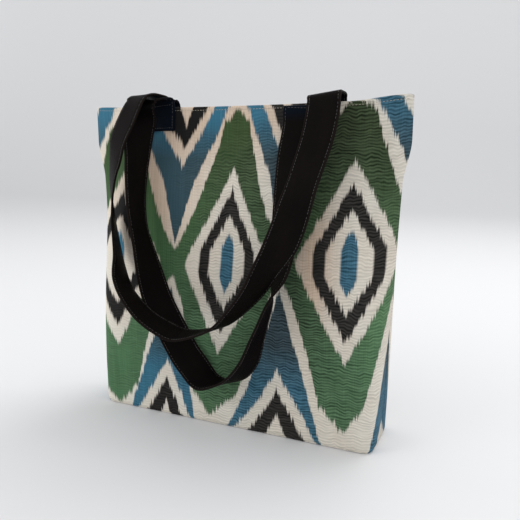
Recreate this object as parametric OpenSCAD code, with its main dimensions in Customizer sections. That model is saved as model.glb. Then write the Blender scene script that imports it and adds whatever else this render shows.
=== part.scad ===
// Tote bag
// A lined cloth bag with a boxed base, a mouth that comes to a point at each side seam,
// and two leather straps that hang over its front.
// Sizes are in millimetres. The bag stands on z = 0 and its front faces -Y.

/* [Bag] */
// Height of the rim's corners above the floor
bag_height = 380; // [320:5:440]
// Width of the rim between the side seams
rim_width = 400; // [360:4:440]
// Width at the waist, below the rim's flare
waist_width = 384; // [340:4:420]
// Width at the floor
foot_width = 358; // [318:4:398]
// Depth of the mouth at its middle
mouth_depth = 48; // [36:2:64]
// Depth at the belly
belly_depth = 80; // [70:2:100]
// Depth at the floor
foot_depth = 78; // [64:2:92]
// Height of the belly above the floor
belly_height = 100; // [60:5:140]
// Distance of the waist below the rim
waist_drop = 90; // [60:5:120]
// Height over which the sides flare from the waist to the rim
flare_height = 48; // [30:2:60]
// Sag of the rim between its corners
rim_sag = 4.5; // [0:0.5:10]
// Rounding of the edge along the floor
edge_round = 5; // [4:1:12]

/* [Cloth] */
// Thickness of the outer cloth with its backing
cloth = 1.6; // [1:0.2:2.4]
// Thickness of the base panel
base_wall = 2; // [1.2:0.2:3]
// Height of the hem that is turned in at the rim
hem_height = 36; // [20:2:60]
// Thickness of the lining
lining_wall = 0.8; // [0.6:0.1:1.6]
// Gap between pieces that are sewn together
sewn_gap = 0.3; // [0.2:0.1:0.6]

/* [Straps] */
// Width of both straps
strap_width = 36; // [30:1:42]
// Thickness of both straps
strap_thickness = 2.6; // [2:0.2:3.4]
// Distance between the middles of the front handle's sewn ends
front_spacing = 174; // [150:2:200]
// Distance between the middles of the back handle's sewn ends
back_spacing = 214; // [192:2:236]
// Length of each sewn end below the rim
tab_length = 31; // [24:1:44]
// How far the front handle hangs below the rim
front_drop = 319; // [260:1:340]
// How far the back handle hangs below the rim
back_drop = 264; // [220:1:290]

/* [Hidden] */

// Columns across each panel and the lining, rows up them, and rows round their bottom edge
panel_columns = 28;
panel_rows = 15;
edge_rows = 2;
// Steps of a strap between two stations of its route
strap_steps = 4;
// How square the section is at the floor; it runs out to a lens at the rim
square_power = 40;
square_root = 5;

waist_height = bag_height - waist_drop;
hem_bottom = bag_height - hem_height;
// The lens comes to this angle at each side seam, so a wall of even thickness reaches further in there
seam_angle = atan2(2 * mouth_depth, rim_width);
seam_reach = 1 / sin(seam_angle) - 1;
lining_outer = cloth + sewn_gap;
lining_inner = lining_outer + lining_wall;
lining_floor = base_wall + sewn_gap;
lining_top = hem_bottom - sewn_gap;

// Section of the bag

function clamp01(t) = min(max(t, 0), 1);
function ease(t) = let (c = clamp01(t)) c * c * (3 - 2 * c);
function mix(a, b, t) = a + (b - a) * t;

// How far the bottom edge curls in at a height
function edge_inset(z) =
    z < edge_round ? edge_round * (1 - sqrt(1 - pow(1 - z / edge_round, 2))) : 0;

function half_width(z) =
    mix(foot_width, waist_width, clamp01(z / waist_height)) / 2
    + (rim_width - waist_width) / 2 * ease((z - waist_height) / flare_height)
    - edge_inset(z);

function half_depth(z) =
    z < belly_height
        ? mix(belly_depth, foot_depth, pow(1 - z / belly_height, 2)) / 2 - edge_inset(z)
        : mix(belly_depth, mouth_depth, pow((z - belly_height) / (bag_height - belly_height), 2)) / 2;

function squareness(z) = 1 - clamp01(z / bag_height);
function fullness(s, z) =
    let (k = squareness(z))
    pow(1 - pow(abs(s), 2 + square_power * k * k * k), 1 / (1 + square_root * k * k));

// A wall that lies inset below the outer face is this wide and deep
function wall_width(z, inset) = half_width(z) - inset * (1 + seam_reach * pow(z / bag_height, 4));
function wall_depth(z, inset) = half_depth(z) - inset;

function sag_at(s, z) = rim_sag * (1 - s * s) * pow(z / bag_height, 2);

// A point of a wall: t runs from -1 to 1 between the side seams, side is -1 in front and 1 behind
function wall_point(t, z, inset, side) =
    let (s = sin(90 * t))
    [wall_width(z, inset) * s, side * wall_depth(z, inset) * fullness(s, z), z - sag_at(s, z)];

// Depth of the front face at a place on it
function front_face(x, z) =
    let (
        s = clamp01(abs(x) / half_width(clamp01(z / bag_height) * bag_height)),
        level = min(z + sag_at(s, z), bag_height)
    )
    -half_depth(level) * fullness(clamp01(abs(x) / half_width(level)), level);

// Lofts

// Faces between closed loops of points that follow each other
function loft_sides(loops, count) =
    [for (i = [0:loops - 2]) for (j = [0:count - 1])
        let (
            k = (j + 1) % count,
            a = i * count + j,
            b = i * count + k,
            c = (i + 1) * count + k,
            d = (i + 1) * count + j
        )
        each [[a, b, c], [a, c, d]]];

function loft_faces(loops, count) =
    concat(
        [[for (j = [count - 1:-1:0]) j]],
        loft_sides(loops, count),
        [[for (j = [0:count - 1]) (loops - 1) * count + j]]
    );

// Panels

function even_steps(from, to, count) = [for (i = [0:count]) mix(from, to, i / count)];

outer_heights = concat(
    [for (i = [0:edge_rows - 1]) mix(base_wall, edge_round, i / edge_rows)],
    even_steps(edge_round, bag_height, panel_rows)
);
inner_heights = concat(
    even_steps(hem_bottom, edge_round, panel_rows),
    [for (i = [1:edge_rows]) mix(edge_round, base_wall, i / edge_rows)]
);
// Height and inset of each point round a panel's wall: up its outside, over the hem, down its inside
panel_profile = concat(
    [for (z = outer_heights) [z, 0]],
    [for (z = even_steps(bag_height, hem_bottom, 3)) [z, 2 * cloth]],
    [for (z = inner_heights) [z, cloth]]
);

module panel(side) {
    columns = even_steps(side, -side, panel_columns);
    points = [for (t = columns) for (p = panel_profile) wall_point(t, p[0], p[1], side)];
    polyhedron(points, loft_faces(len(columns), len(panel_profile)), convexity = 8);
}

module front_panel() {
    color([0.27, 0.42, 0.30]) panel(-1);
}

module back_panel() {
    color([0.27, 0.42, 0.30]) panel(1);
}

// Loops round the whole bag

function bag_loop(z, inset, columns) =
    concat(
        [for (i = [0:columns - 1]) wall_point(mix(-1, 1, i / columns), z, inset, -1)],
        [for (i = [0:columns - 1]) wall_point(mix(1, -1, i / columns), z, inset, 1)]
    );

module base_panel() {
    outline = [for (p = bag_loop(base_wall, 0, panel_columns)) [p[0], p[1]]];
    color([0.75, 0.70, 0.62]) linear_extrude(base_wall) polygon(outline);
}

// Height and inset of each loop of the lining: up its inside and down its outside to its floor
lining_profile = concat(
    [for (i = [0:edge_rows - 1]) [mix(lining_floor + lining_wall, edge_round, i / edge_rows), lining_inner]],
    [for (z = even_steps(edge_round, lining_top, panel_rows)) [z, lining_inner]],
    [for (z = even_steps(lining_top, edge_round, panel_rows)) [z, lining_outer]],
    [for (i = [1:edge_rows]) [mix(edge_round, lining_floor, i / edge_rows), lining_outer]]
);

module lining() {
    points = [for (p = lining_profile) each bag_loop(p[0], p[1], panel_columns)];
    color([0.30, 0.28, 0.27])
        polyhedron(points, loft_faces(len(lining_profile), 2 * panel_columns), convexity = 8);
}

// Handles

// A station of a strap's route has:
//   its place across, in halves of the handle's spacing
//   its drop below the rim, in shares of the handle's drop
//   its way through the bag, from 0 on the front face to 1 on the back face
//   its stand-off towards the viewer, in halves of the strap's width
//   the turn of the strap's width about the vertical, and its tilt, in degrees
front_route = [
    [-1.011, -0.006, 0, 0.03, 181, 0],
    [-1.04, -0.012, 0, 0.3, 173, -4],
    [-1.115, -0.004, 0, 0.68, 174, -8],
    [-1.195, 0.028, 0, 0.94, 198, -8],
    [-1.247, 0.09, 0, 1.03, 236, -2],
    [-1.259, 0.19, 0, 1.1, 262, 0],
    [-1.236, 0.27, 0, 1.3, 272, 0],
    [-1.184, 0.38, 0, 1.4, 276, 2],
    [-1.107, 0.485, 0, 1.28, 272, 3],
    [-0.969, 0.67, 0, 0.84, 238, 2],
    [-0.82, 0.765, 0, 0.76, 230, -6],
    [-0.563, 0.89, 0, 0.69, 222, -18],
    [-0.395, 0.945, 0, 0.75, 224, -24],
    [-0.138, 1, 0, 0.92, 244, -10],
    [0.237, 0.975, 0, 1.14, 252, 10],
    [0.474, 0.905, 0, 1.19, 256, 16],
    [0.603, 0.81, 0, 1.19, 268, 16],
    [0.672, 0.755, 0, 1.15, 274, 14],
    [0.771, 0.67, 0, 1.07, 284, 10],
    [0.84, 0.59, 0, 0.72, 318, 4],
    [0.88, 0.49, 0, 0.52, 336, 0],
    [0.909, 0.34, 0, 0.42, 344, 0],
    [0.939, 0.2, 0, 0.4, 349, 0],
    [1, 0.09, 0, 0.38, 356, 0],
    [1, 0.04, 0, 0.34, 360, 0],
    [1, 0.023, 0, 0.24, 360, 0],
    [1, 0.025, 0, 0.12, 360, 0]
];
back_route = [
    [-1, -0.004, 1, 0, 0, 0],
    [-1.009, -0.02, 0.86, 0, 0, 0],
    [-1.005, -0.028, 0.5, 0, -2, 0],
    [-0.972, -0.034, 0.02, 0, -5, 1],
    [-0.949, -0.031, 0, 1.2, -9, 2],
    [-0.958, -0.006, 0, 1.9, -13, 4],
    [-1.033, 0.066, 0, 2.2, -14, 2],
    [-1.187, 0.16, 0, 2.05, -19, 0],
    [-1.324, 0.265, 0, 1.52, -25, 0],
    [-1.375, 0.37, 0, 1.31, -32, 0],
    [-1.375, 0.475, 0, 1.08, -40, 3],
    [-1.324, 0.57, 0, 1.01, -49, 6],
    [-1.202, 0.71, 0, 1.25, -65, 8],
    [-0.978, 0.8, 0, 2.4, -78, 6],
    [-0.693, 0.885, 0, 2.95, -86, 0],
    [-0.458, 0.938, 0, 2.9, -90, -4],
    [-0.275, 0.965, 0, 2.64, -92, -4],
    [-0.061, 0.95, 0, 2.48, -93, 0],
    [0.173, 0.91, 0, 2.32, -97, 6],
    [0.387, 0.825, 0, 2.18, -106, 10],
    [0.55, 0.74, 0, 2.16, -116, 10],
    [0.672, 0.66, 0, 2.35, -127, 8],
    [0.784, 0.58, 0, 2.3, -143, 6],
    [0.846, 0.51, 0, 2.06, -159, 3],
    [0.907, 0.405, 0, 1.83, -181, 0],
    [0.958, 0.315, 0, 1.65, -194, -2],
    [1.051, 0.16, 0, 1.39, -190, -4],
    [1.084, 0.055, 0, 1.17, -187, -7],
    [1.075, 0, 0, 0.85, -186, -8],
    [1.054, -0.018, 0, 0.4, -185, -8],
    [1.023, -0.023, 0.3, 0, -183, -7],
    [1.002, -0.024, 0.88, 0, -181, -4],
    [1, -0.008, 1, 0, -180, -1]
];

// The sewn end of a strap, from its free edge up to the rim
function tab_stations(across, drop, through, turn) =
    [for (z = [tab_length, tab_length * 2 / 3, tab_length / 3]) [across, z / drop, through, 0, turn, 0]];

function reversed(list) = [for (i = [len(list) - 1:-1:0]) list[i]];

function whole_route(route, drop, through, turn_left, turn_right) =
    concat(
        tab_stations(-1, drop, through, turn_left),
        route,
        reversed(tab_stations(1, drop, through, turn_right))
    );

// Middle of the strap at a station, with its turn and tilt; a strap on a panel lies along that panel
function placed(station, spacing, drop) =
    let (
        x = station[0] * spacing / 2,
        z = bag_height - station[1] * drop,
        facing = 1 - 2 * station[2],
        face = front_face(x, z) - sewn_gap - strap_thickness / 2,
        half = strap_width / 2,
        slope = atan2(front_face(x + half, z) - front_face(x - half, z), strap_width)
    )
    [x, face * facing - station[3] * half, z, station[4] + slope * facing, station[5]];

function smooth(a, b, c, d, t) =
    (2 * b + (c - a) * t + (2 * a - 5 * b + 4 * c - d) * t * t
        + (3 * b - a - 3 * c + d) * t * t * t) / 2;

function smooth_line(list, steps) =
    let (last = len(list) - 1)
    concat(
        [for (i = [0:last - 1]) for (j = [0:steps - 1])
            smooth(list[max(i - 1, 0)], list[i], list[i + 1], list[min(i + 2, last)], j / steps)],
        [list[last]]
    );

function unit(v) = v / norm(v);
function spot(v) = [v[0], v[1], v[2]];

// The four corners of a strap's section at each point of its line
function strap_loops(line) =
    let (last = len(line) - 1)
    [for (i = [0:last])
        let (
            p = spot(line[i]),
            along = unit(spot(line[min(i + 1, last)]) - spot(line[max(i - 1, 0)])),
            turn = line[i][3],
            tilt = line[i][4],
            lay = [cos(turn) * cos(tilt), sin(turn) * cos(tilt), sin(tilt)],
            across = unit(lay - along * (lay * along)) * strap_width / 2,
            up = unit(cross(along, across)) * strap_thickness / 2
        )
        each [p - across - up, p - across + up, p + across + up, p + across - up]];

module strap(route, spacing, drop, through, turn_left, turn_right) {
    whole = whole_route(route, drop, through, turn_left, turn_right);
    stations = [for (s = whole) placed(s, spacing, drop)];
    line = smooth_line(stations, strap_steps);
    color([0.11, 0.10, 0.10])
        polyhedron(strap_loops(line), loft_faces(len(line), 4), convexity = 12);
}

module front_handle() {
    strap(front_route, front_spacing, front_drop, 0, 180, 360);
}

module back_handle() {
    strap(back_route, back_spacing, back_drop, 1, 0, -180);
}

base_panel();
front_panel();
back_panel();
lining();
front_handle();
back_handle();
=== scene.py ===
import math

import bpy
import numpy as np
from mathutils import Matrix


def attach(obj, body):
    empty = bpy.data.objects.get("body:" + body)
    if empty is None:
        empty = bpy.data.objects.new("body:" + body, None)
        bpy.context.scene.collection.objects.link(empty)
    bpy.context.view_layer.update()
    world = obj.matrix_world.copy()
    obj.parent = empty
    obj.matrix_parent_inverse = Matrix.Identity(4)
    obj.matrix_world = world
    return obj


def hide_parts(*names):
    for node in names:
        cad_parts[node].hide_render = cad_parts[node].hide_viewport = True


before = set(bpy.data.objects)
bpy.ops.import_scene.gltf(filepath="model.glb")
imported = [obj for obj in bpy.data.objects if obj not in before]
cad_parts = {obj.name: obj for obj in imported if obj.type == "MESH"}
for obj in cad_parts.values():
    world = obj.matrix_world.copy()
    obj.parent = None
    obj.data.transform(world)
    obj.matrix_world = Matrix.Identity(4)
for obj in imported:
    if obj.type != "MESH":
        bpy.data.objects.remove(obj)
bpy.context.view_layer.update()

# Sizes in millimetres, the same as in the part's source
BAG_HEIGHT = 380.0
RIM_WIDTH = 400.0
WAIST_WIDTH = 384.0
FOOT_WIDTH = 358.0
MOUTH_DEPTH = 48.0
BELLY_DEPTH = 80.0
FOOT_DEPTH = 78.0
BELLY_HEIGHT = 100.0
WAIST_DROP = 90.0
FLARE_HEIGHT = 48.0
RIM_SAG = 4.5
EDGE_ROUND = 5.0
CLOTH = 1.6
BASE_WALL = 2.0
HEM_HEIGHT = 36.0
LINING_WALL = 0.8
SEWN_GAP = 0.3
STRAP_WIDTH = 36.0
STRAP_THICKNESS = 2.6
FRONT_SPACING = 174.0
BACK_SPACING = 214.0
TAB_LENGTH = 31.0
FRONT_DROP = 319.0
BACK_DROP = 264.0
# How square the section is at the foot
SQUARE_POWER = 40.0
SQUARE_ROOT = 5.0
# At the rim the section is sharp at the seams, so a wall of even thickness reaches further in there
SEAM_REACH = 1 / math.sin(math.atan2(2 * MOUTH_DEPTH, RIM_WIDTH)) - 1
SEAM_POWER = 4

WAIST_HEIGHT = BAG_HEIGHT - WAIST_DROP
HEM_BOTTOM = BAG_HEIGHT - HEM_HEIGHT
LINING_OUTER = CLOTH + SEWN_GAP
LINING_INNER = LINING_OUTER + LINING_WALL
LINING_FLOOR = BASE_WALL + SEWN_GAP
LINING_TOP = HEM_BOTTOM - SEWN_GAP

FRONT = -1
BACK = 1


# Section of the bag

def ease(t):
    c = np.clip(t, 0, 1)
    return c * c * (3 - 2 * c)


def mix(a, b, t):
    return a + (b - a) * t


def edge_inset(z):
    curl = np.clip(1 - np.asarray(z, float) / EDGE_ROUND, 0, 1)
    return EDGE_ROUND * (1 - np.sqrt(1 - curl ** 2))


def half_width(z):
    side = mix(FOOT_WIDTH, WAIST_WIDTH, np.clip(z / WAIST_HEIGHT, 0, 1)) / 2
    flare = (RIM_WIDTH - WAIST_WIDTH) / 2 * ease((z - WAIST_HEIGHT) / FLARE_HEIGHT)
    return side + flare - edge_inset(z)


def half_depth(z):
    low = mix(BELLY_DEPTH, FOOT_DEPTH, np.clip(1 - z / BELLY_HEIGHT, 0, 1) ** 2) / 2 - edge_inset(z)
    rise = np.clip((z - BELLY_HEIGHT) / (BAG_HEIGHT - BELLY_HEIGHT), 0, 1)
    high = mix(BELLY_DEPTH, MOUTH_DEPTH, rise ** 2) / 2
    return np.where(z < BELLY_HEIGHT, low, high)


def fullness(s, z):
    """How full the section is at a share of its half width: boxed at the foot and pointed at the mouth."""
    k = 1 - np.clip(z / BAG_HEIGHT, 0, 1)
    lens = 1 - np.abs(s) ** (2 + SQUARE_POWER * k ** 3)
    return np.clip(lens, 0, 1) ** (1 / (1 + SQUARE_ROOT * k ** 2))


def sag_at(s, z):
    return RIM_SAG * (1 - s * s) * (z / BAG_HEIGHT) ** 2


def front_face(x, z):
    """Where the plain front face lies, for a point across and a height."""
    level = np.clip(z, 0, BAG_HEIGHT)
    s = np.clip(np.abs(x) / half_width(level), 0, 1)
    level = np.minimum(z + sag_at(s, z), BAG_HEIGHT)
    s = np.clip(np.abs(x) / half_width(level), 0, 1)
    return -half_depth(level) * fullness(s, level)


# Soft folds of the cloth: place across, height, half length, half width, turn in degrees, and depth
FRONT_FOLDS = [
    (166, 300, 60, 11, 83, -4.0),
    (186, 350, 34, 7, 80, 2.0),
    (-168, 315, 52, 12, 97, -3.0),
    (120, 300, 70, 22, 76, -1.6),
    (-30, 330, 90, 26, 8, -1.2),
    (60, 180, 120, 30, 24, -1.4),
    (-110, 150, 90, 26, -38, -1.6),
    (120, 60, 80, 16, -24, -1.5),
    (-130, 50, 60, 14, 22, -1.2),
    (10, 90, 120, 22, 3, -1.0),
]
BACK_FOLDS = [
    (-166, 305, 56, 11, 97, -3.6),
    (170, 310, 52, 12, 82, -3.2),
    (40, 320, 100, 26, -8, -1.4),
    (-60, 200, 120, 28, 26, -1.8),
    (90, 150, 100, 26, -32, -1.8),
    (-120, 60, 70, 16, 24, -1.5),
    (130, 55, 60, 14, -22, -1.3),
]
# Small ripples all over the cloth: depth, and the lengths across and up of two crossing waves
RIPPLE_DEPTH = 0.5
RIPPLE_ONE = (31.0, 57.0)
RIPPLE_TWO = (90.0, 43.0)
# No fold goes further in than this share of the depth, so the panels don't meet at the seam
FOLD_LIMIT = 0.3
# The folds fade out towards the seams, over a share of the half width, and towards foot, rim and sewn ends
SEAM_FADE = 0.06
FOOT_FADE = 30.0
RIM_FADE = 26.0
RIM_ROOM = 6.0
TAB_FADE = 20.0
TAB_ROOM = 8.0
# The rim curls up by this much at its right corner, from a share of the half width on, and hardly below it
CORNER_LIFT = 4.0
CORNER_START = 0.7
CORNER_POWER = 10


def tab_mask(x, z, spacing):
    """Zero under a handle's sewn ends, where the cloth lies flat, and one away from them."""
    reach = STRAP_WIDTH / 2 + TAB_ROOM
    across = ease((np.abs(np.abs(x) - spacing / 2) - reach) / TAB_FADE + 1)
    below = ease((BAG_HEIGHT - TAB_LENGTH - TAB_ROOM - z) / TAB_FADE + 1)
    return np.maximum(across, below)


def puff(x, z, side):
    """How far the cloth stands out from the plain section."""
    out = 0.0
    for fx, fz, long, wide, turn, depth in FRONT_FOLDS if side == FRONT else BACK_FOLDS:
        c = math.cos(math.radians(turn))
        s = math.sin(math.radians(turn))
        a = ((x - fx) * c + (z - fz) * s) / long
        b = ((z - fz) * c - (x - fx) * s) / wide
        out = out + depth * np.exp(-a * a - b * b)
    one = np.sin(x / RIPPLE_ONE[0] + z / RIPPLE_ONE[1] + side)
    two = np.sin(z / RIPPLE_TWO[1] - x / RIPPLE_TWO[0])
    out = out + RIPPLE_DEPTH * (one * two - 1)
    level = np.clip(z, 0, BAG_HEIGHT)
    edge = np.clip(np.abs(x) / half_width(level), 0, 1)
    out = np.maximum(out, -FOLD_LIMIT * half_depth(level) * fullness(edge, level))
    fade = ease((1 - edge) / SEAM_FADE) * ease(z / FOOT_FADE) * ease((BAG_HEIGHT + RIM_ROOM - z) / RIM_FADE)
    spacing = FRONT_SPACING if side == FRONT else BACK_SPACING
    return out * fade * tab_mask(x, z, spacing)


def corner_lift(s, z):
    return CORNER_LIFT * ease((s - CORNER_START) / (1 - CORNER_START)) * (z / BAG_HEIGHT) ** CORNER_POWER


def wall(s, z, inset, side):
    """Points of a wall that lies inset below the outer face, with the cloth's folds."""
    width = half_width(z) - inset * (1 + SEAM_REACH * (z / BAG_HEIGHT) ** SEAM_POWER)
    depth = half_depth(z) - inset
    x = width * s
    y = side * (depth * fullness(s, z) + puff(x, z, side))
    return np.stack([x, y, z - sag_at(s, z) + corner_lift(s, z)], axis=-1)


# Meshes

def add_piece(name, points, faces, material, node=None):
    """A mesh object from points in millimetres, riding on the bag."""
    mesh = bpy.data.meshes.new(name)
    mesh.from_pydata((np.asarray(points) / 1000).tolist(), [], faces)
    mesh.update()
    mesh.shade_smooth()
    mesh.materials.append(material)
    piece = bpy.data.objects.new(name, mesh)
    bpy.context.scene.collection.objects.link(piece)
    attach(piece, "root")
    if node:
        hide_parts(node)
    return piece


def store(piece, name, vectors):
    """Keeps one vector for each point of a mesh, for its material."""
    layer = piece.data.attributes.new(name, "FLOAT_VECTOR", "POINT")
    layer.data.foreach_set("vector", np.asarray(vectors, np.float32).ravel())


def grid_faces(rows, columns, closed=False):
    """Faces of a grid of points, kept row by row; closed joins the last column to the first."""
    i = np.arange(rows - 1)[:, None]
    j = np.arange(columns if closed else columns - 1)[None, :]
    k = (j + 1) % columns
    a = i * columns + j
    b = i * columns + k
    c = (i + 1) * columns + k
    d = (i + 1) * columns + j
    return np.stack([a, b, c, d], axis=-1).reshape(-1, 4).tolist()


def tube_faces(rings, columns, turned=False):
    """Faces of a tube of rings, closed at both ends; turned makes them face the other way."""
    faces = grid_faces(rings, columns, closed=True)
    faces.append(list(range(columns))[::-1])
    faces.append([(rings - 1) * columns + j for j in range(columns)])
    return [face[::-1] for face in faces] if turned else faces


def run_along(path):
    """Distance along a path at each of its points."""
    return np.concatenate([[0], np.cumsum(np.linalg.norm(np.diff(path, axis=0), axis=1))])


def unit(v):
    return v / np.linalg.norm(v, axis=-1, keepdims=True)


# Materials

class Wire:
    """A number that flows through a material's nodes, with arithmetic on it."""

    def __init__(self, tree, socket):
        self.tree = tree
        self.socket = socket

    def math(self, operation, *others, clamp=False):
        node = self.tree.nodes.new("ShaderNodeMath")
        node.operation = operation
        node.use_clamp = clamp
        for slot, value in zip(node.inputs, (self,) + others):
            feed(self.tree, slot, value)
        return Wire(self.tree, node.outputs[0])

    def __add__(self, other):
        return self.math("ADD", other)

    def __sub__(self, other):
        return self.math("SUBTRACT", other)

    def __rsub__(self, other):
        return (self * -1.0) + other

    def __mul__(self, other):
        return self.math("MULTIPLY", other)

    def __truediv__(self, other):
        return self.math("DIVIDE", other)

    def abs(self):
        return self.math("ABSOLUTE")

    def bounded(self):
        """Held between zero and one."""
        return self.math("ADD", 0.0, clamp=True)

    def above(self, level, soft):
        """Zero below a level and one above it, over a soft edge."""
        return ((self - level) / soft + 0.5).bounded()


def feed(tree, slot, value):
    if isinstance(value, Wire):
        tree.links.new(value.socket, slot)
    else:
        slot.default_value = value


def new_material(name):
    material = bpy.data.materials.new(name)
    material.use_nodes = True
    tree = material.node_tree
    shader = tree.nodes["Principled BSDF"]
    return material, tree, shader


def attribute(tree, name):
    """The three numbers of a stored vector."""
    source = tree.nodes.new("ShaderNodeAttribute")
    source.attribute_name = name
    split = tree.nodes.new("ShaderNodeSeparateXYZ")
    tree.links.new(source.outputs["Vector"], split.inputs[0])
    return [Wire(tree, split.outputs[i]) for i in range(3)]


NOISE_SPREAD = 3.0


def noise(tree, x, y, z, detail=1.0, rough=0.5):
    """Smooth noise from about -1 to 1."""
    join = tree.nodes.new("ShaderNodeCombineXYZ")
    for slot, value in zip(join.inputs, (x, y, z)):
        feed(tree, slot, value)
    cloud = tree.nodes.new("ShaderNodeTexNoise")
    cloud.inputs["Scale"].default_value = 1.0
    cloud.inputs["Detail"].default_value = detail
    cloud.inputs["Roughness"].default_value = rough
    tree.links.new(join.outputs[0], cloud.inputs["Vector"])
    return (Wire(tree, cloud.outputs[0]) - 0.5) * NOISE_SPREAD


def surface_noise(tree, place, grain, detail=1.0, rough=0.5):
    """Noise on a surface; grain is its length in two directions, and a shift that sets it apart."""
    one, two, layer = place
    return noise(tree, one / grain[0], two / grain[1], layer + grain[2], detail, rough)


def wave(turns):
    """A sine wave with one turn for each unit."""
    return (turns * (2 * math.pi)).math("SINE")


def spot(u, v, place, level, wide, tall):
    """One at a place on the cloth, fading to zero around it."""
    a = (u - place) / wide
    b = (v - level) / tall
    return ((a * a + b * b) * -1.0).math("EXPONENT")


def blend_colours(tree, low, high, factor):
    node = tree.nodes.new("ShaderNodeMix")
    node.data_type = "RGBA"
    feed(tree, node.inputs["Factor"], factor)
    for slot, value in ((node.inputs["A"], low), (node.inputs["B"], high)):
        if isinstance(value, Wire):
            tree.links.new(value.socket, slot)
        else:
            slot.default_value = (*value, 1.0)
    return Wire(tree, node.outputs["Result"])


def shade_colour(tree, colour, factor):
    """A colour made lighter or darker by a factor."""
    node = tree.nodes.new("ShaderNodeVectorMath")
    node.operation = "SCALE"
    tree.links.new(colour.socket, node.inputs[0])
    tree.links.new(factor.socket, node.inputs["Scale"])
    return Wire(tree, node.outputs[0])


def bump(tree, shader, height, distance):
    node = tree.nodes.new("ShaderNodeBump")
    node.inputs["Strength"].default_value = 1.0
    node.inputs["Distance"].default_value = distance
    tree.links.new(height.socket, node.inputs["Height"])
    tree.links.new(node.outputs[0], shader.inputs["Normal"])


def linear(*screen):
    """A colour given as it looks on a screen, from 0 to 255, by the sRGB curve."""
    return tuple(((c / 255 + 0.055) / 1.055) ** 2.4 if c > 10 else c / 255 / 12.92 for c in screen)


# The first two creams are cream in painted shade, warm and darker; the ribbed cream is the lighter, plainer
# one
SHADED_CREAM = linear(178, 155, 134)
SHADED_CREAM_LIGHT = linear(208, 190, 172)
CREAM_RIBBED = linear(211, 206, 195)
# The olive greens are the green ground in painted shade
SHADED_OLIVE = linear(45, 62, 34)
SHADED_OLIVE_LIGHT = linear(60, 82, 46)
GREEN = linear(62, 97, 66)
GREEN_LIGHT = linear(82, 119, 84)
SLATE = linear(40, 62, 71)
SLATE_LIGHT = linear(56, 81, 91)
BLUE = linear(40, 88, 110)
BLUE_LIGHT = linear(60, 116, 140)
BLACK = linear(15, 14, 14)
BLACK_LIGHT = linear(26, 24, 24)
# Painted highlight on the tops of the ribs
RIB_HIGHLIGHT = linear(186, 180, 170)

# The ikat repeats in columns; heights are counted from the middle of a lozenge
COLUMN_REPEAT = 148.0
PATTERN_MIDDLE = 201.0
ROW_RISE = 0.057
# The cloth's stretch changes across it: the left column's place, the stretch left of it,
# and the places where the stretch changes, each with its change
LEFT_COLUMN = -152.0
LEFT_STRETCH = 0.7
STRETCH_CHANGES = [(LEFT_COLUMN, 0.171), (-67.0, 0.171), (4.0, 0.096), (69.0, -0.177)]
# Low down past the right column the ground is narrower and the bands lie further out
EDGE_PLACE = 142.0
EDGE_HEIGHT = 150.0
GROUND_DRAWN = 0.28
# The columns lean most at this place across, and less away from it
COLUMN_LEAN = 0.09
LEAN_PLACE = -35.0
LEAN_REACH = 70.0
# Below the middle they lean more, by this share
LOW_LEAN = 0.5
# Lozenges from the outside in: half width, half height, half height of the upright sides, and paint
LOZENGES = [(57, 110, 4, "cream"), (38, 85, 15, "black"), (24.5, 56, 14, "cream"), (8.6, 36, 19, "blue")]
# Bands between the columns: height of the point above and below the middle, slope above and below,
# how far out the band lies at the low right, and paint
BANDS = [
    (22, 29, 3.9, 3.25, 0.06, "slate"),
    (114, 124, 1.75, 1.7, 0.3, "cream"),
    (136, 148, 1.6, 1.7, 0.6, "black"),
    (160, 177, 3.0, 2.4, 0.6, "cream"),
]
# Below the middle the bands are steeper to the right, by this share for each unit across
BANDS_STEEPEN = 0.0009
# Above the middle the slate band widens at its shoulder: height between the columns, and slope
SLATE_SHOULDER = (60.0, 2.0)
# Below the middle the shoulder is moved this far, off the pattern
FAR_OFF = 1000.0
# Tip of the green ground above the middle and below it, and how steeply it falls away
GROUND_TIPS = (176.0, 190.0)
GROUND_FALLS = (0.8, 1.05)
# Flank of the green ground: height midway between columns, slope, and how it curves above and below
GROUND_FLANK = (15.0, 1.6)
GROUND_CURVES = (0.019, 0.0335)
# The dye's edges run up and down along threads and bundles of threads, and are a little soft
THREAD_GRAIN = (0.55, 30.0, 0.0)
THREAD_REACH = 4.5
BUNDLE_GRAIN = (1.9, 45.0, 7.3)
BUNDLE_REACH = 6.5
DYE_SOFT = 4.5
# Streaks of lighter dye along the threads
STREAK_GRAIN = (1.1, 80.0, 3.1)
STREAK_SHARE = 0.5
# The green ground is painted darker olive as shade from this height up, and is plain green this much lower
OLIVE_SHADE_HEIGHT = 350.0
OLIVE_SHADE_REACH = 250.0
# Painted shade and painted light on the green: place across, height, reach across, reach up and the change;
# the darker spots are painted shade by the right handle and at the top right, the lighter one is painted
# light at the right edge
GREEN_LIGHT_AND_SHADE = [(90, 150, 34, 80, -0.25), (190, 160, 32, 90, 0.45), (110, 340, 60, 60, -0.25)]
# The slate paint is dull between these heights and blue beyond them, over a soft change
SLATE_BOTTOM = 85.0
SLATE_TOP = 345.0
SLATE_SOFT = 50.0
# The ribs grow stronger from left to right: strength at the left column, gain for each millimetre,
# and how much the strength varies
RIB_START = 0.3
RIB_GAIN = 0.0045
RIBBED_GRAIN = (30.0, 40.0, 9.0)
RIBBED_SPREAD = 0.4
# Smooth patches, where the ribs fade and the cream takes a warmer, darker painted shade: place across,
# height, reach across, reach up and how much of that painted shade the cream takes there
SMOOTH_PATCHES = [
    (-90, 300, 60, 95, 1.0),
    (15, 368, 75, 40, 1.0),
    (108, 205, 24, 80, 1.0),
    (-175, 320, 40, 70, 0.3),
    (202, 200, 16, 90, 0.1),
]
SMOOTHING = 0.9
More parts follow.
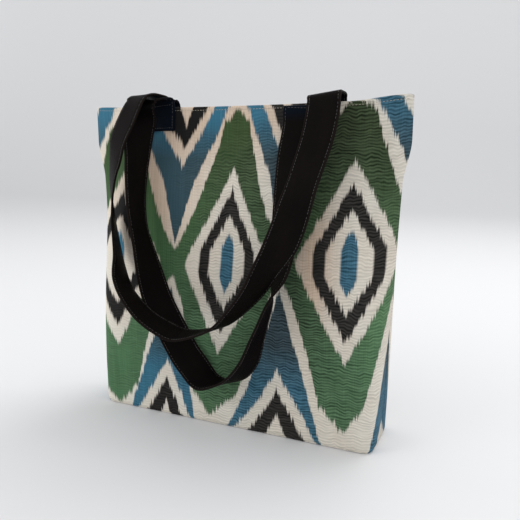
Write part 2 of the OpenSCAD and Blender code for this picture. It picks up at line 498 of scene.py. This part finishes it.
# Elsewhere the cream takes less of the warm painted shade: how much, and how much that varies
WARM_START = 0.1
WARM_GRAIN = (35.0, 50.0, 6.2)
WARM_SPREAD = 0.2
# The ribs run across the cloth and swirl a little, part even and part uneven
RIB_PITCH = 3.4
SWIRL_GRAINS = [(11.0, 26.0, 1.7), (50.0, 60.0, 4.4)]
SWIRL_REACH = 0.9
RIB_EVEN = 0.3
RIB_UNEVEN = 0.45
UNEVEN_LENGTH = 13.0
UNEVEN_CHANGE = 1.9
UNEVEN_SHIFT = 5.5
# Painted shade in the grooves between the ribs: how dark it is on dyed cloth, on cream and on smooth cloth
DYED_GROOVE = 0.66
CREAM_GROOVE = 0.26
SMOOTH_GROOVE = 0.06
# Share of the painted highlight on the tops of the ribs
RIB_GLEAM = 0.06
WEAVE_PITCH = 0.9
WEAVE_SHADE = 0.03
WEAVE_HEIGHT = 0.1
PLAIN_SHADE = 1.06
RIB_HEIGHT = 0.0004


def ikat_columns(u, v):
    """Place across the pattern, and how far a point lies past the right column, low down."""
    lean = (u - LEAN_PLACE) / LEAN_REACH
    lean = (lean * lean * -1.0).math("EXPONENT") * COLUMN_LEAN
    rise = v - PATTERN_MIDDLE
    reach = u - (rise + rise.math("MINIMUM", 0.0) * LOW_LEAN) * lean
    across = (reach - LEFT_COLUMN) * LEFT_STRETCH - COLUMN_REPEAT
    for place, change in STRETCH_CHANGES:
        across = across + (reach - place).math("MAXIMUM", 0.0) * change
    edge = (reach - EDGE_PLACE).math("MAXIMUM", 0.0)
    edge = edge * ((PATTERN_MIDDLE - v) / EDGE_HEIGHT).bounded()
    return across, edge


def ikat_ribs(tree, cloth):
    """How ribbed the cloth is, how much warm painted shade its cream takes, and its ribs, from zero on top
    to one in a groove.
    """
    u, v, side = cloth
    spread = surface_noise(tree, cloth, RIBBED_GRAIN) * RIBBED_SPREAD
    ribbed = (u - LEFT_COLUMN) * RIB_GAIN + spread + RIB_START
    warm_shade = surface_noise(tree, cloth, WARM_GRAIN) * WARM_SPREAD + WARM_START
    for place, level, wide, tall, warmth in SMOOTH_PATCHES:
        smooth = spot(u, v, place, level, wide, tall)
        ribbed = ribbed - smooth * SMOOTHING
        warm_shade = warm_shade + smooth * warmth
    swirl = surface_noise(tree, cloth, SWIRL_GRAINS[0]) + surface_noise(tree, cloth, SWIRL_GRAINS[1])
    line = v / RIB_PITCH + swirl * SWIRL_REACH
    uneven = noise(tree, u / UNEVEN_LENGTH, line * UNEVEN_CHANGE, side + UNEVEN_SHIFT)
    rib = wave(line) * RIB_EVEN + uneven * RIB_UNEVEN + 0.5
    return ribbed.bounded(), warm_shade.bounded(), rib.bounded()


def ikat_paints(tree, cloth, ribbed, warm_shade, rib, weave):
    """The dyes with their streaks, painted shade in the rib grooves, warm painted shade on the cream and
    painted light and shade on the green, by name.
    """
    u, v = cloth[:2]
    plain_shade = weave * WEAVE_SHADE + PLAIN_SHADE
    # Painted shade in the rib grooves darkens each dye
    dyed_shade = plain_shade - rib * (ribbed * DYED_GROOVE + SMOOTH_GROOVE)
    cream_shade = plain_shade - rib * (ribbed * CREAM_GROOVE + SMOOTH_GROOVE)
    # The green takes painted shade and painted light in spots
    green_shade = dyed_shade
    for place, level, wide, tall, change in GREEN_LIGHT_AND_SHADE:
        green_shade = green_shade + spot(u, v, place, level, wide, tall) * change
    streak = surface_noise(tree, cloth, STREAK_GRAIN, detail=2.0, rough=0.6)
    tone = (streak * STREAK_SHARE + 0.5).bounded()
    cream = blend_colours(tree, SHADED_CREAM, SHADED_CREAM_LIGHT, tone)
    # The cream takes a warmer, darker painted shade in the smooth patches
    cream = blend_colours(tree, CREAM_RIBBED, cream, warm_shade)
    shaded_olive = blend_colours(tree, SHADED_OLIVE, SHADED_OLIVE_LIGHT, tone)
    green = blend_colours(tree, GREEN, GREEN_LIGHT, tone)
    # Painted shade: the ground turns darker olive towards the top
    green = blend_colours(tree, shaded_olive, green, ((OLIVE_SHADE_HEIGHT - v) / OLIVE_SHADE_REACH).bounded())
    blue = blend_colours(tree, BLUE, BLUE_LIGHT, tone)
    slate = blend_colours(tree, SLATE, SLATE_LIGHT, tone)
    dull = v.above(SLATE_BOTTOM, SLATE_SOFT) - v.above(SLATE_TOP, SLATE_SOFT)
    slate = blend_colours(tree, blue, slate, dull)
    black = blend_colours(tree, BLACK, BLACK_LIGHT, tone)
    return {
        "cream": shade_colour(tree, cream, cream_shade),
        "green": shade_colour(tree, green, green_shade),
        "slate": shade_colour(tree, slate, dyed_shade),
        "blue": shade_colour(tree, blue, dyed_shade),
        "black": shade_colour(tree, black, dyed_shade),
    }


def ikat_material():
    material, tree, shader = new_material("ikat_cloth")
    cloth = attribute(tree, "cloth")
    u, v = cloth[:2]
    thread = surface_noise(tree, cloth, THREAD_GRAIN)
    bundle = surface_noise(tree, cloth, BUNDLE_GRAIN)
    height = v + thread * THREAD_REACH + bundle * BUNDLE_REACH
    across, edge = ikat_columns(u, v)
    column = (across / COLUMN_REPEAT + 0.5).math("FLOOR")
    from_column = (across - column * COLUMN_REPEAT).abs()
    from_midway = COLUMN_REPEAT / 2 - from_column
    rise = height - PATTERN_MIDDLE - across * ROW_RISE
    below = 1.0 - rise.above(0.0, 1.0)
    from_middle = rise.abs()
    ribbed, warm_shade, rib = ikat_ribs(tree, cloth)
    weave = wave(u / WEAVE_PITCH)
    paints = ikat_paints(tree, cloth, ribbed, warm_shade, rib, weave)

    # The green ground ends in a shoulder with a spike, and bands of other paints follow it outwards
    tip = below * (GROUND_TIPS[1] - GROUND_TIPS[0]) + GROUND_TIPS[0]
    fall = below * (GROUND_FALLS[1] - GROUND_FALLS[0]) + GROUND_FALLS[0]
    curve = below * (GROUND_CURVES[1] - GROUND_CURVES[0]) + GROUND_CURVES[0]
    out = from_column + edge * GROUND_DRAWN
    gap = COLUMN_REPEAT / 2 - out
    flank = gap * GROUND_FLANK[1] + gap * gap * curve + GROUND_FLANK[0]
    ground = flank.math("MINIMUM", tip - out * fall)
    colour = blend_colours(tree, paints["green"], paints["cream"], from_middle.above(ground, DYE_SOFT))
    steepen = across * BANDS_STEEPEN + 1.0
    for upper, lower, upper_slope, lower_slope, loose, paint in BANDS:
        point = below * (lower - upper) + upper
        slope = below * (steepen * lower_slope - upper_slope) + upper_slope
        inner = (from_midway + edge * loose) * slope + point
        if paint == "slate":
            shoulder = from_midway * SLATE_SHOULDER[1] + below * FAR_OFF + SLATE_SHOULDER[0]
            inner = inner.math("MINIMUM", shoulder)
        colour = blend_colours(tree, colour, paints[paint], from_middle.above(inner, DYE_SOFT))

    # Lozenges with slanted edges above and below their upright sides
    for wide, tall, upright, paint in LOZENGES:
        slope = (tall - upright) / wide
        slanted = (tall - from_column * slope - from_middle).above(0.0, DYE_SOFT)
        inside = slanted * (wide - from_column).above(0.0, DYE_SOFT / 2)
        colour = blend_colours(tree, colour, paints[paint], inside)

    # Painted highlight on the tops of the ribs, where the cloth is ribbed
    colour = blend_colours(tree, colour, RIB_HIGHLIGHT, (1.0 - rib) * ribbed * RIB_GLEAM)
    tree.links.new(colour.socket, shader.inputs["Base Color"])
    shader.inputs["Roughness"].default_value = 0.75
    shader.inputs["Specular IOR Level"].default_value = 0.12
    bump(tree, shader, weave * WEAVE_HEIGHT - rib * ribbed, RIB_HEIGHT)
    return material


LINING_DARK = linear(62, 57, 54)
LINING_LIGHT = linear(84, 78, 74)
LINING_GRAIN = (40.0, 40.0, 0.0)
LINING_PITCH = 1.0
LINING_HEIGHT = 0.0003
# Shares of the cloud and the weave in the lining's tone, and of the cloud in its height
CLOUD_TONE = 0.3
LINING_WEAVE_TONE = 0.2
CLOUD_SWELL = 2.0


def lining_material():
    material, tree, shader = new_material("lining_cloth")
    cloth = attribute(tree, "cloth")
    cloud = surface_noise(tree, cloth, LINING_GRAIN, detail=3.0)
    weave = wave(cloth[0] / LINING_PITCH) * wave(cloth[1] / LINING_PITCH)
    tone = (cloud * CLOUD_TONE + weave * LINING_WEAVE_TONE + 0.5).bounded()
    colour = blend_colours(tree, LINING_DARK, LINING_LIGHT, tone)
    tree.links.new(colour.socket, shader.inputs["Base Color"])
    shader.inputs["Roughness"].default_value = 0.85
    shader.inputs["Specular IOR Level"].default_value = 0.2
    bump(tree, shader, weave + cloud * CLOUD_SWELL, LINING_HEIGHT)
    return material


LEATHER_DARK = linear(12, 10, 10)
LEATHER_LIGHT = linear(21, 17, 16)
# The edges are worn lighter and carry a painted highlight, over this width, and the sewn ends carry a
# painted navy sheen up to this far past them
LEATHER_WORN_HIGHLIT = linear(32, 27, 25)
WORN_HIGHLIT_WIDTH = 1.6
WORN_HIGHLIT_SOFT = 1.4
WORN_HIGHLIT_SHARE = 0.5
# Painted navy sheen on the sewn ends of the straps
LEATHER_NAVY_SHEEN = linear(11, 17, 25)
NAVY_SHEEN_PAST = 6.0
NAVY_SHEEN_SOFT = 12.0
# Pores, patches and creases of the leather, each with its length along and across, and a shift
PORE_GRAIN = (0.9, 0.9, 0.0)
PATCH_GRAIN = (45.0, 18.0, 2.0)
CREASE_GRAIN = (2.2, 14.0, 5.0)
CREASE_SHARE = 0.5
PORE_HEIGHT = 0.00014
# Tone and roughness of the leather: share of the patches, share of the pores, and what both are added to
LEATHER_TONE = (0.35, 0.15, 0.45)
LEATHER_ROUGH = (0.06, 0.05, 0.44)


def leather_material():
    material, tree, shader = new_material("strap_leather")
    strap = attribute(tree, "strap")
    along, across = strap[:2]
    pores = surface_noise(tree, strap, PORE_GRAIN, detail=3.0, rough=0.6)
    patch = surface_noise(tree, strap, PATCH_GRAIN, detail=2.0)
    crease = surface_noise(tree, strap, CREASE_GRAIN, detail=2.0)
    edge = (across.abs() - STRAP_WIDTH / 2 + WORN_HIGHLIT_WIDTH).above(0.0, WORN_HIGHLIT_SOFT)
    navy_sheen = (TAB_LENGTH + NAVY_SHEEN_PAST - along).above(0.0, NAVY_SHEEN_SOFT)
    tone = (patch * LEATHER_TONE[0] + pores * LEATHER_TONE[1] + LEATHER_TONE[2]).bounded()
    colour = blend_colours(tree, LEATHER_DARK, LEATHER_LIGHT, tone)
    # Lighter edges: wear together with a painted highlight
    colour = blend_colours(tree, colour, LEATHER_WORN_HIGHLIT, edge * WORN_HIGHLIT_SHARE)
    # Painted navy sheen on the sewn ends
    colour = blend_colours(tree, colour, LEATHER_NAVY_SHEEN, navy_sheen)
    tree.links.new(colour.socket, shader.inputs["Base Color"])
    rough = (patch * LEATHER_ROUGH[0] + pores * LEATHER_ROUGH[1] + LEATHER_ROUGH[2]).bounded()
    tree.links.new(rough.socket, shader.inputs["Roughness"])
    shader.inputs["Specular IOR Level"].default_value = 0.01
    bump(tree, shader, pores + crease * CREASE_SHARE, PORE_HEIGHT)
    return material


FIBRE_SCALE = 900.0
FIBRE_HEIGHT = 0.0002


def thread_material(name, low, high):
    material, tree, shader = new_material(name)
    place = tree.nodes.new("ShaderNodeTexCoord")
    cloud = tree.nodes.new("ShaderNodeTexNoise")
    cloud.inputs["Scale"].default_value = FIBRE_SCALE
    tree.links.new(place.outputs["Object"], cloud.inputs["Vector"])
    fibre = Wire(tree, cloud.outputs[0])
    tree.links.new(blend_colours(tree, low, high, fibre).socket, shader.inputs["Base Color"])
    shader.inputs["Roughness"].default_value = 0.6
    bump(tree, shader, fibre, FIBRE_HEIGHT)
    return material


IKAT = ikat_material()
LINING = lining_material()
LEATHER = leather_material()
STRAP_THREAD = thread_material("strap_thread", linear(42, 40, 39), linear(80, 76, 74))
RIM_THREAD = thread_material("rim_thread", linear(136, 128, 117), linear(180, 171, 156))


# Camera, in metres and degrees, fitted to the photograph

CAMERA_PLACE = (0.3147, -0.6364, 0.3335)
CAMERA_YAW = 24.2
CAMERA_PITCH = 10.9
CAMERA_LENS = 41.54
CAMERA_SENSOR = 36.0

camera_data = bpy.data.cameras.new("camera")
camera_data.lens = CAMERA_LENS
camera_data.sensor_width = CAMERA_SENSOR
camera = bpy.data.objects.new("camera", camera_data)
camera.location = CAMERA_PLACE
camera.rotation_euler = (math.radians(90 - CAMERA_PITCH), 0, math.radians(CAMERA_YAW))
bpy.context.scene.collection.objects.link(camera)
bpy.context.scene.camera = camera


# Panels

PANEL_COLUMNS = 190
# Rows of points up a panel's outside, over its fold and down its inside
CURL_ROWS = 6
OUTER_ROWS = 150
FOLD_ROWS = 9
HEM_ROWS = 16
INNER_ROWS = 60
INNER_CURL_ROWS = 4


def column_steps(columns):
    """Shares of the half width from seam to seam, closer together towards the seams."""
    return np.sin(np.linspace(-math.pi / 2, math.pi / 2, columns + 1))


PANEL_STEPS = column_steps(PANEL_COLUMNS)


def panel_profile():
    """Height, inset and height on the cloth: up a panel's outside, over the hem and down its inside."""
    fold_start = BAG_HEIGHT - CLOTH
    low = [(z, 0.0, z) for z in np.linspace(BASE_WALL, EDGE_ROUND, CURL_ROWS, endpoint=False)]
    outside = [(z, 0.0, z) for z in np.linspace(EDGE_ROUND, fold_start, OUTER_ROWS)]
    fold = []
    for a in np.linspace(0, math.pi, FOLD_ROWS)[1:-1]:
        fold.append((fold_start + CLOTH * math.sin(a), CLOTH - CLOTH * math.cos(a), fold_start + CLOTH * a))
    turned = [(z, 2 * CLOTH, 2 * BAG_HEIGHT - z) for z in np.linspace(fold_start, HEM_BOTTOM, HEM_ROWS)]
    inside = [(z, CLOTH, z) for z in np.linspace(HEM_BOTTOM, EDGE_ROUND, INNER_ROWS)]
    inside += [(z, CLOTH, z) for z in np.linspace(EDGE_ROUND, BASE_WALL, INNER_CURL_ROWS)[1:]]
    return np.array(low + outside + fold + turned + inside)


def cloth_across(z, side):
    """Distance along the cloth from the panel's middle, at each column of one height."""
    run = run_along(wall(PANEL_STEPS, np.full_like(PANEL_STEPS, z), 0.0, side)[:, :2])
    return run - run[PANEL_COLUMNS // 2]


def add_panel(name, node, side):
    profile = panel_profile()
    count = len(profile)
    points = []
    cloth = []
    reach = np.array([cloth_across(min(z, BAG_HEIGHT), side) for z in profile[:, 0]])
    for j, s in enumerate(PANEL_STEPS):
        points.append(wall(np.full(count, s), profile[:, 0], profile[:, 1], side))
        cloth.append(np.stack([reach[:, j], profile[:, 2], np.full(count, float(side))], axis=-1))
    faces = tube_faces(PANEL_COLUMNS + 1, count, turned=side == FRONT)
    piece = add_piece(name, np.concatenate(points), faces, IKAT, node)
    store(piece, "cloth", np.concatenate(cloth))


add_panel("front_cloth", "front_panel", FRONT)
add_panel("back_cloth", "back_panel", BACK)


# Base and lining, as loops round the whole bag

BASE_COLUMNS = 120
BASE_ROUND = 1.4
BASE_RINGS = 6
LINING_COLUMNS = 130
LINING_ROWS = 80
LINING_INNER_CURL = 4
LINING_OUTER_CURL = 5


def bag_loop(z, inset, columns):
    steps = column_steps(columns)[:-1]
    level = np.full(columns, float(z))
    return np.concatenate([wall(steps, level, inset, FRONT), wall(-steps, level, inset, BACK)])


def add_base():
    rings = [bag_loop(BASE_WALL, 0, BASE_COLUMNS)]
    for a in np.linspace(0, math.pi / 2, BASE_RINGS):
        ring = bag_loop(BASE_WALL, BASE_ROUND * (1 - math.cos(a)), BASE_COLUMNS)
        ring[:, 2] = BASE_ROUND * (1 - math.sin(a))
        rings.append(ring)
    points = np.concatenate(rings)
    faces = tube_faces(len(rings), 2 * BASE_COLUMNS, turned=True)
    piece = add_piece("base_cloth", points, faces, IKAT, "base_panel")
    # The front panel's pattern goes on under the base
    under = -points[:, 1] - FOOT_DEPTH / 2
    store(piece, "cloth", np.stack([points[:, 0], under, np.full(len(points), float(FRONT))], axis=-1))


add_base()


def add_lining():
    floor = LINING_FLOOR + LINING_WALL
    inner = list(np.linspace(floor, EDGE_ROUND, LINING_INNER_CURL, endpoint=False))
    inner += list(np.linspace(EDGE_ROUND, LINING_TOP, LINING_ROWS))
    outer = list(np.linspace(LINING_TOP, EDGE_ROUND, LINING_ROWS))
    outer += list(np.linspace(EDGE_ROUND, LINING_FLOOR, LINING_OUTER_CURL)[1:])
    profile = [(z, LINING_INNER) for z in inner] + [(z, LINING_OUTER) for z in outer]
    loops = [bag_loop(z, inset, LINING_COLUMNS) for z, inset in profile]
    count = 2 * LINING_COLUMNS
    faces = tube_faces(len(profile), count, turned=True)
    piece = add_piece("lining_cloth", np.concatenate(loops), faces, LINING, "lining")
    run = np.concatenate([run_along(loop[:, :2]) for loop in loops])
    height_and_face = np.repeat(np.array(profile), count, axis=0)
    store(piece, "cloth", np.column_stack([run, height_and_face]))


add_lining()


# Handles: the same stations as in the part's source
# Place across, drop, way through the bag, stand-off, turn and tilt

FRONT_ROUTE = [
    (-1.011, -0.006, 0, 0.03, 181, 0),
    (-1.04, -0.012, 0, 0.3, 173, -4),
    (-1.115, -0.004, 0, 0.68, 174, -8),
    (-1.195, 0.028, 0, 0.94, 198, -8),
    (-1.247, 0.09, 0, 1.03, 236, -2),
    (-1.259, 0.19, 0, 1.1, 262, 0),
    (-1.236, 0.27, 0, 1.3, 272, 0),
    (-1.184, 0.38, 0, 1.4, 276, 2),
    (-1.107, 0.485, 0, 1.28, 272, 3),
    (-0.969, 0.67, 0, 0.84, 238, 2),
    (-0.82, 0.765, 0, 0.76, 230, -6),
    (-0.563, 0.89, 0, 0.69, 222, -18),
    (-0.395, 0.945, 0, 0.75, 224, -24),
    (-0.138, 1, 0, 0.92, 244, -10),
    (0.237, 0.975, 0, 1.14, 252, 10),
    (0.474, 0.905, 0, 1.19, 256, 16),
    (0.603, 0.81, 0, 1.19, 268, 16),
    (0.672, 0.755, 0, 1.15, 274, 14),
    (0.771, 0.67, 0, 1.07, 284, 10),
    (0.84, 0.59, 0, 0.72, 318, 4),
    (0.88, 0.49, 0, 0.52, 336, 0),
    (0.909, 0.34, 0, 0.42, 344, 0),
    (0.939, 0.2, 0, 0.4, 349, 0),
    (1, 0.09, 0, 0.38, 356, 0),
    (1, 0.04, 0, 0.34, 360, 0),
    (1, 0.023, 0, 0.24, 360, 0),
    (1, 0.025, 0, 0.12, 360, 0),
]
BACK_ROUTE = [
    (-1, -0.004, 1, 0, 0, 0),
    (-1.009, -0.02, 0.86, 0, 0, 0),
    (-1.005, -0.028, 0.5, 0, -2, 0),
    (-0.972, -0.034, 0.02, 0, -5, 1),
    (-0.949, -0.031, 0, 1.2, -9, 2),
    (-0.958, -0.006, 0, 1.9, -13, 4),
    (-1.033, 0.066, 0, 2.2, -14, 2),
    (-1.187, 0.16, 0, 2.05, -19, 0),
    (-1.324, 0.265, 0, 1.52, -25, 0),
    (-1.375, 0.37, 0, 1.31, -32, 0),
    (-1.375, 0.475, 0, 1.08, -40, 3),
    (-1.324, 0.57, 0, 1.01, -49, 6),
    (-1.202, 0.71, 0, 1.25, -65, 8),
    (-0.978, 0.8, 0, 2.4, -78, 6),
    (-0.693, 0.885, 0, 2.95, -86, 0),
    (-0.458, 0.938, 0, 2.9, -90, -4),
    (-0.275, 0.965, 0, 2.64, -92, -4),
    (-0.061, 0.95, 0, 2.48, -93, 0),
    (0.173, 0.91, 0, 2.32, -97, 6),
    (0.387, 0.825, 0, 2.18, -106, 10),
    (0.55, 0.74, 0, 2.16, -116, 10),
    (0.672, 0.66, 0, 2.35, -127, 8),
    (0.784, 0.58, 0, 2.3, -143, 6),
    (0.846, 0.51, 0, 2.06, -159, 3),
    (0.907, 0.405, 0, 1.83, -181, 0),
    (0.958, 0.315, 0, 1.65, -194, -2),
    (1.051, 0.16, 0, 1.39, -190, -4),
    (1.084, 0.055, 0, 1.17, -187, -7),
    (1.075, 0, 0, 0.85, -186, -8),
    (1.054, -0.018, 0, 0.4, -185, -8),
    (1.023, -0.023, 0.3, 0, -183, -7),
    (1.002, -0.024, 0.88, 0, -181, -4),
    (1, -0.008, 1, 0, -180, -1),
]
STRAP_STEPS = 12
STRAP_PITCH = 1.6
# Half of the strap's section: share of the half width, and share of the half thickness
GROOVE_FACE = 0.74
STRAP_FACE = [(1.0, 0.50), (0.985, 0.80), (0.95, 0.96), (0.90, 0.96), (0.856, GROOVE_FACE), (0.81, 0.96),
              (0.6, 1.0), (0.3, 1.0)]
# Sets the leather's grain on one face apart from that on the other
FACE_SHIFT = 20.0


def placed(station, spacing, drop):
    """Middle of the strap at a station, with its turn and tilt; a strap on a panel lies along that panel."""
    across, fall, through, off, turn, tilt = station
    x = across * spacing / 2
    z = BAG_HEIGHT - fall * drop
    facing = 1 - 2 * through
    face = front_face(x, z) - SEWN_GAP - STRAP_THICKNESS / 2
    half = STRAP_WIDTH / 2
    slope = math.degrees(math.atan2(front_face(x + half, z) - front_face(x - half, z), STRAP_WIDTH))
    return [x, face * facing - off * half, z, turn + slope * facing, tilt]


def smooth_line(rows):
    """A smooth curve through rows of numbers."""
    rows = np.asarray(rows, float)
    last = len(rows) - 1
    line = []
    for i in range(last):
        a, b = rows[max(i - 1, 0)], rows[i]
        c, d = rows[i + 1], rows[min(i + 2, last)]
        for t in np.arange(STRAP_STEPS) / STRAP_STEPS:
            line.append((2 * b + (c - a) * t + (2 * a - 5 * b + 4 * c - d) * t ** 2
                         + (3 * b - a - 3 * c + d) * t ** 3) / 2)
    line.append(rows[last])
    return np.array(line)


def strap_line(route, spacing, drop, through, turn_left, turn_right):
    """Evenly spaced middles of a strap with the directions along it, across it and out of its face."""
    tabs = [TAB_LENGTH, TAB_LENGTH * 2 / 3, TAB_LENGTH / 3]
    stations = [(-1, z / drop, through, 0, turn_left, 0) for z in tabs]
    stations += route
    stations += [(1, z / drop, through, 0, turn_right, 0) for z in tabs[::-1]]
    line = smooth_line([placed(s, spacing, drop) for s in stations])
    run = run_along(line[:, :3])
    even = np.linspace(0, run[-1], int(run[-1] / STRAP_PITCH))
    line = np.stack([np.interp(even, run, line[:, i]) for i in range(5)], axis=-1)
    middle = line[:, :3]
    along = unit(np.gradient(middle, axis=0))
    turn = np.radians(line[:, 3])
    tilt = np.radians(line[:, 4])
    lay = np.stack([np.cos(turn) * np.cos(tilt), np.sin(turn) * np.cos(tilt), np.sin(tilt)], axis=-1)
    across = unit(lay - along * np.sum(lay * along, axis=1, keepdims=True))
    up = unit(np.cross(along, across))
    return even, middle, along, across, up


def strap_section():
    left = [(-a, h) for a, h in reversed(STRAP_FACE)]
    face = STRAP_FACE + [(0.0, 1.0)] + left
    back = [(a, -h) for a, h in reversed(face)]
    return np.array(face + back)


def add_strap(name, node, line):
    even, middle, _, across, up = line
    section = strap_section()
    half = STRAP_WIDTH / 2
    thick = STRAP_THICKNESS / 2
    count = len(section)
    points = (middle[:, None, :] + across[:, None, :] * (section[None, :, :1] * half)
              + up[:, None, :] * (section[None, :, 1:] * thick))
    faces = tube_faces(len(even), count)
    piece = add_piece(name, points.reshape(-1, 3), faces, LEATHER, node)
    # Distance from the nearest end, place across, and face
    layer = np.empty((len(even), count, 3))
    layer[:, :, 0] = np.minimum(even, even[-1] - even)[:, None]
    layer[:, :, 1] = section[None, :, 0] * half
    layer[:, :, 2] = np.sign(section[None, :, 1]) * FACE_SHIFT
    store(piece, "strap", layer.reshape(-1, 3))


# Stitches

STITCH_LENGTH = 2.5
STITCH_PITCH = 3.5
STITCH_THICK = 0.5
STITCH_INSET = 2.6
STITCH_RINGS = (-1.0, -0.8, -0.3, 0.3, 0.8, 1.0)
STITCH_SIDES = 6
STITCH_TIP = 0.02
# How far a thread's middle lies above a groove, the strap's face and the cloth, as shares of its thickness
GROOVE_SEAT = 0.3
FACE_SEAT = 0.2
CLOTH_SEAT = 0.15
RIM_STITCH_DROP = 4.0
RIM_STITCH_ENDS = 3.0
RIM_STEPS = 1199


def stitch_points():
    """Rings of a short thread with rounded ends, along its own first axis."""
    rings = []
    for share in STITCH_RINGS:
        swell = math.sqrt(max(1 - abs(share) ** 3, STITCH_TIP))
        for a in np.arange(STITCH_SIDES) * 2 * math.pi / STITCH_SIDES:
            rings.append((share * 0.5, swell * math.cos(a) * 0.5, swell * math.sin(a) * 0.5))
    return np.array(rings) * (STITCH_LENGTH, STITCH_THICK, STITCH_THICK)


def add_stitches(name, seats, material):
    """One thread piece from seats: middle, direction along, direction across and direction out."""
    shape = stitch_points()
    stitch = tube_faces(len(STITCH_RINGS), STITCH_SIDES)
    points = []
    faces = []
    for k, (middle, along, across, out) in enumerate(seats):
        points.append(middle + shape @ np.stack([along, across, out]))
        faces += [[i + k * len(shape) for i in face] for face in stitch]
    add_piece(name, np.concatenate(points), faces, material)


def strap_seats(line):
    """Seats of the stitches along both edges of both faces, and across the sewn ends."""
    even, middle, along, across, up = line
    end = even[-1]
    half = STRAP_WIDTH / 2 - STITCH_INSET
    in_groove = STRAP_THICKNESS / 2 * GROOVE_FACE + STITCH_THICK * GROOVE_SEAT
    on_face = STRAP_THICKNESS / 2 + STITCH_THICK * FACE_SEAT
    rows = (STITCH_INSET, TAB_LENGTH - STITCH_INSET, end - TAB_LENGTH + STITCH_INSET, end - STITCH_INSET)
    seats = []
    for face in (-1, 1):
        for s in np.arange(STITCH_INSET, end - STITCH_INSET, STITCH_PITCH):
            i = int(round(s / end * (len(even) - 1)))
            for edge in (-1, 1):
                place = middle[i] + across[i] * edge * half + up[i] * face * in_groove
                seats.append((place, along[i], across[i], up[i]))
        for s in rows:
            i = int(round(s / end * (len(even) - 1)))
            for a in np.arange(-half + STITCH_PITCH, half - STITCH_PITCH / 2, STITCH_PITCH):
                place = middle[i] + across[i] * a + up[i] * face * on_face
                seats.append((place, across[i], along[i], up[i]))
    return seats


def rim_seats(side):
    """Seats of the topstitching along the rim of one panel."""
    steps = column_steps(RIM_STEPS)
    path = wall(steps, np.full_like(steps, BAG_HEIGHT - RIM_STITCH_DROP), 0.0, side)
    run = run_along(path)
    places = np.arange(RIM_STITCH_ENDS, run[-1] - RIM_STITCH_ENDS, STITCH_PITCH)
    middle = np.stack([np.interp(places, run, path[:, i]) for i in range(3)], axis=-1)
    seats = []
    for place, along in zip(middle, unit(np.gradient(middle, axis=0))):
        out = unit(np.array([-side * along[1], side * along[0], 0.0]))
        seats.append((place + out * STITCH_THICK * CLOTH_SEAT, along, np.cross(out, along), out))
    return seats


front_line = strap_line(FRONT_ROUTE, FRONT_SPACING, FRONT_DROP, through=0, turn_left=180, turn_right=360)
back_line = strap_line(BACK_ROUTE, BACK_SPACING, BACK_DROP, through=1, turn_left=0, turn_right=-180)
add_strap("front_strap", "front_handle", front_line)
add_strap("back_strap", "back_handle", back_line)
add_stitches("front_strap_thread", strap_seats(front_line), STRAP_THREAD)
add_stitches("back_strap_thread", strap_seats(back_line), STRAP_THREAD)
add_stitches("rim_thread", rim_seats(FRONT) + rim_seats(BACK), RIM_THREAD)


# Floor, light and background, in metres

FLOOR_TONE = 0.64
WALL_TONE = 0.76
BLUE_SHARE = 1.01
FLOOR_DROP = 0.0004
SWEEP_REACH = 5.0
SWEEP_BACK = 2.4
SWEEP_ROUND = 1.6
SWEEP_STEPS = 25


def add_floor():
    """A pale floor that sweeps up behind the bag."""
    profile = [(-SWEEP_REACH, 0.0)]
    for a in np.linspace(0, math.pi / 2, SWEEP_STEPS):
        profile.append((SWEEP_BACK + SWEEP_ROUND * math.sin(a), SWEEP_ROUND * (1 - math.cos(a))))
    profile.append((SWEEP_BACK + SWEEP_ROUND, SWEEP_REACH))
    points = [(x, y, z - FLOOR_DROP) for y, z in profile for x in (-SWEEP_REACH, SWEEP_REACH)]
    mesh = bpy.data.meshes.new("floor")
    mesh.from_pydata(points, [], grid_faces(len(profile), 2))
    mesh.shade_smooth()
    floor = bpy.data.objects.new("floor", mesh)
    bpy.context.scene.collection.objects.link(floor)
    store(floor, "rise", [(0, 0, point[2] / SWEEP_ROUND) for point in points])
    material, tree, shader = new_material("floor")
    height = attribute(tree, "rise")[2]
    low = (FLOOR_TONE, FLOOR_TONE, FLOOR_TONE * BLUE_SHARE)
    high = (WALL_TONE, WALL_TONE, WALL_TONE * BLUE_SHARE)
    tree.links.new(blend_colours(tree, low, high, height).socket, shader.inputs["Base Color"])
    shader.inputs["Roughness"].default_value = 0.9
    shader.inputs["Specular IOR Level"].default_value = 0.1
    mesh.materials.append(material)


add_floor()

# Name, place, aim, size and power in watts
LAMPS = [
    ("window", (-1.7, -1.0, 0.9), (0, 0, 0.15), (2.4, 2.0), 19),
    ("side_window", (1.7, -0.1, 0.7), (0.1, 0, 0.2), (1.4, 1.2), 5),
    ("back_window", (0.5, 1.0, 1.8), (0, 0, 0.2), (1.4, 1.4), 20),
]
SKY_COLOUR = (0.98, 0.99, 1.0, 1.0)
SKY_STRENGTH = 1.0


def add_lamp(name, place, aim, size, power):
    data = bpy.data.lights.new(name, "AREA")
    data.shape = "RECTANGLE"
    data.size, data.size_y = size
    data.energy = power
    lamp = bpy.data.objects.new(name, data)
    way = np.array(aim, float) - np.array(place, float)
    lamp.location = place
    lamp.rotation_euler = (math.atan2(math.hypot(way[0], way[1]), -way[2]), 0, math.atan2(-way[0], way[1]))
    bpy.context.scene.collection.objects.link(lamp)


for lamp_values in LAMPS:
    add_lamp(*lamp_values)

world = bpy.data.worlds.new("studio")
bpy.context.scene.world = world
world.use_nodes = True
sky = world.node_tree.nodes["Background"]
sky.inputs["Color"].default_value = SKY_COLOUR
sky.inputs["Strength"].default_value = SKY_STRENGTH

bpy.context.scene.view_settings.view_transform = "Standard"
